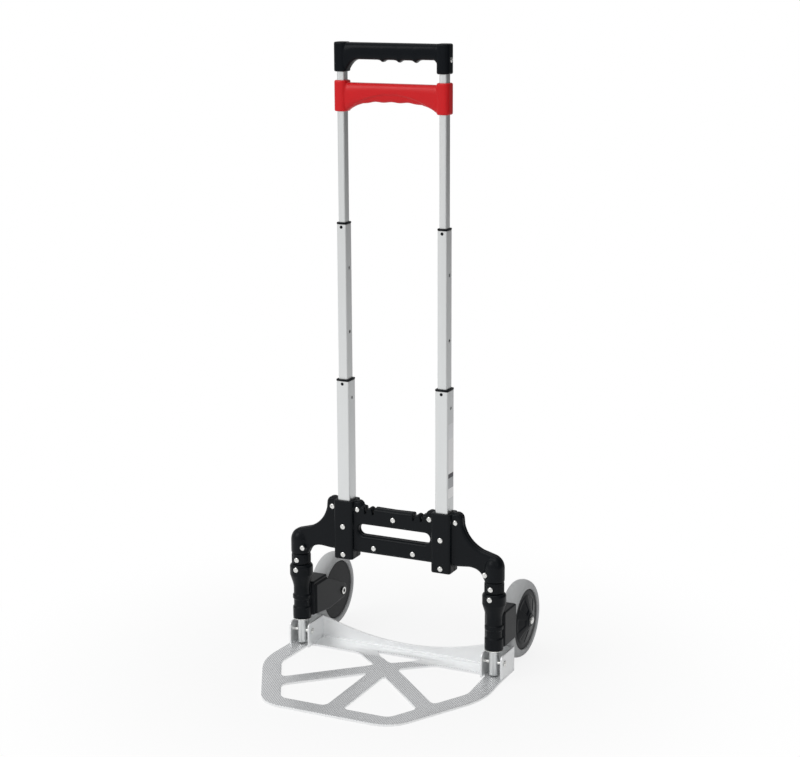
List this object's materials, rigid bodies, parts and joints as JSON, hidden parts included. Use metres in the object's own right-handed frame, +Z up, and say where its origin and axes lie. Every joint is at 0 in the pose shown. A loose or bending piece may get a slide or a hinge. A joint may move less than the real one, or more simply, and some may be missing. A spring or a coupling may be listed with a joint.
{
  "type": "folding hand truck",
  "caption": "Folding hand truck with a two-stage telescopic handle, an openwork toe plate that folds up, and wheels on brackets that swing in with it.",
  "frame": {"origin": "middle of the footprint's bounding box, on the floor the plate and wheels stand on", "axes": "+Z up, along the tubes; the toe plate reaches towards -Y; +X is the truck's left-to-right width seen from the toe plate"},
  "size_m": [0.3972, 0.424, 1.002],
  "materials": {
    "aluminium": "satin anodised tube and bright cast plate",
    "black_plastic": "moulded nylon, satin, fine grain",
    "gloss_black_plastic": "moulded, semi-gloss",
    "red_plastic": "moulded, semi-gloss red",
    "zinc_steel": "bright zinc plate",
    "grey_tyre": "light grey solid rubber"
  },
  "bodies": {
    "frame": {"leg_collar_left": "black_plastic", "leg_collar_right": "black_plastic", "leg_collar_screw_left": "zinc_steel", "leg_collar_screw_right": "zinc_steel", "leg_rod_left": "aluminium", "leg_rod_right": "aluminium", "lower_collar_left": "black_plastic", "lower_collar_right": "black_plastic", "lower_tube_left": "aluminium", "lower_tube_right": "aluminium", "yoke_front_half": "black_plastic", "yoke_rear_half": "black_plastic", "yoke_screw_arm_left": "zinc_steel", "yoke_screw_arm_right": "zinc_steel", "yoke_screw_inner_top_left": "zinc_steel", "yoke_screw_inner_top_right": "zinc_steel", "yoke_screw_lower_bar_left": "zinc_steel", "yoke_screw_lower_bar_right": "zinc_steel", "yoke_screw_outer_top_left": "zinc_steel", "yoke_screw_outer_top_right": "zinc_steel", "yoke_screw_socket_lower_left": "zinc_steel", "yoke_screw_socket_lower_right": "zinc_steel", "yoke_screw_socket_upper_left": "zinc_steel", "yoke_screw_socket_upper_right": "zinc_steel", "yoke_screw_top_centre": "zinc_steel"},
    "middle_stage": {"middle_collar_left": "black_plastic", "middle_collar_right": "black_plastic", "middle_plug_left": "black_plastic", "middle_plug_right": "black_plastic", "middle_tube_left": "aluminium", "middle_tube_right": "aluminium"},
    "middle_pin_left": {"middle_lock_pin_left": "zinc_steel"},
    "middle_pin_right": {"middle_lock_pin_right": "zinc_steel"},
    "top_stage": {"handle_screw_left": "zinc_steel", "handle_screw_right": "zinc_steel", "top_handle": "gloss_black_plastic", "upper_plug_left": "black_plastic", "upper_plug_right": "black_plastic", "upper_tube_left": "aluminium", "upper_tube_right": "aluminium"},
    "upper_pin_left": {"upper_lock_pin_left": "zinc_steel"},
    "upper_pin_right": {"upper_lock_pin_right": "zinc_steel"},
    "release": {"release_grip": "red_plastic", "release_rod_left": "zinc_steel", "release_rod_right": "zinc_steel"},
    "toe": {"hinge_pin_left": "zinc_steel", "hinge_pin_right": "zinc_steel", "toe_plate": "aluminium"},
    "bracket_left": {"axle_bolt_left": "zinc_steel", "axle_nut_left": "zinc_steel", "bracket_screw_left": "zinc_steel", "wheel_bracket_left": "black_plastic"},
    "bracket_right": {"axle_bolt_right": "zinc_steel", "axle_nut_right": "zinc_steel", "bracket_screw_right": "zinc_steel", "wheel_bracket_right": "black_plastic"},
    "wheel_left": {"wheel_hub_left": "gloss_black_plastic", "wheel_tyre_left": "grey_tyre"},
    "wheel_right": {"wheel_hub_right": "gloss_black_plastic", "wheel_tyre_right": "grey_tyre"}
  },
  "joints": [
    {"name": "middle_tubes_slide", "type": "slide", "parent": "frame", "child": "middle_stage", "axis": [0, 0, 1], "range_m": [-0.24, 0]},
    {"name": "upper_tubes_slide", "type": "slide", "parent": "middle_stage", "child": "top_stage", "axis": [0, 0, 1], "range_m": [-0.168, 0]},
    {"name": "release_grip_pull", "type": "slide", "parent": "top_stage", "child": "release", "axis": [0, 0, 1], "range_m": [0, 0.012], "stiffness_N_per_m": 350, "springref_m": -0.006},
    {"name": "upper_lock_pin_left", "type": "slide", "parent": "top_stage", "child": "upper_pin_left", "axis": [1, 0, 0], "range_m": [-0.0025, 0]},
    {"name": "upper_lock_pin_right", "type": "slide", "parent": "top_stage", "child": "upper_pin_right", "axis": [1, 0, 0], "range_m": [-0.0025, 0]},
    {"name": "middle_lock_pin_left", "type": "slide", "parent": "middle_stage", "child": "middle_pin_left", "axis": [1, 0, 0], "range_m": [-0.0025, 0], "stiffness_N_per_m": 250, "springref_m": 0.002},
    {"name": "middle_lock_pin_right", "type": "slide", "parent": "middle_stage", "child": "middle_pin_right", "axis": [1, 0, 0], "range_m": [-0.0025, 0], "stiffness_N_per_m": 250, "springref_m": 0.002},
    {"name": "toe_plate_fold", "type": "hinge", "parent": "frame", "child": "toe", "pos_m": [0, 0.04, 0.027], "axis": [-1, 0, 0], "range_deg": [0, 90]},
    {"name": "wheel_bracket_swing_left", "type": "hinge", "parent": "frame", "child": "bracket_left", "pos_m": [-0.174, 0.04, 0.1], "axis": [0, 0, -1], "range_deg": [0, 90]},
    {"name": "wheel_bracket_swing_right", "type": "hinge", "parent": "frame", "child": "bracket_right", "pos_m": [0.174, 0.04, 0.1], "axis": [0, 0, 1], "range_deg": [0, 90]},
    {"name": "wheel_spin_left", "type": "hinge", "parent": "bracket_left", "child": "wheel_left", "pos_m": [-0.174, 0.147, 0.065], "axis": [1, 0, 0], "continuous": true},
    {"name": "wheel_spin_right", "type": "hinge", "parent": "bracket_right", "child": "wheel_right", "pos_m": [0.174, 0.147, 0.065], "axis": [1, 0, 0], "continuous": true}
  ],
  "couplings": [
    {"joint": "upper_lock_pin_left", "follows": "release_grip_pull", "ratio": -0.20833},
    {"joint": "upper_lock_pin_right", "follows": "release_grip_pull", "ratio": -0.20833},
    {"joint": "wheel_bracket_swing_left", "follows": "toe_plate_fold", "ratio": 1},
    {"joint": "wheel_bracket_swing_right", "follows": "toe_plate_fold", "ratio": 1}
  ]
}
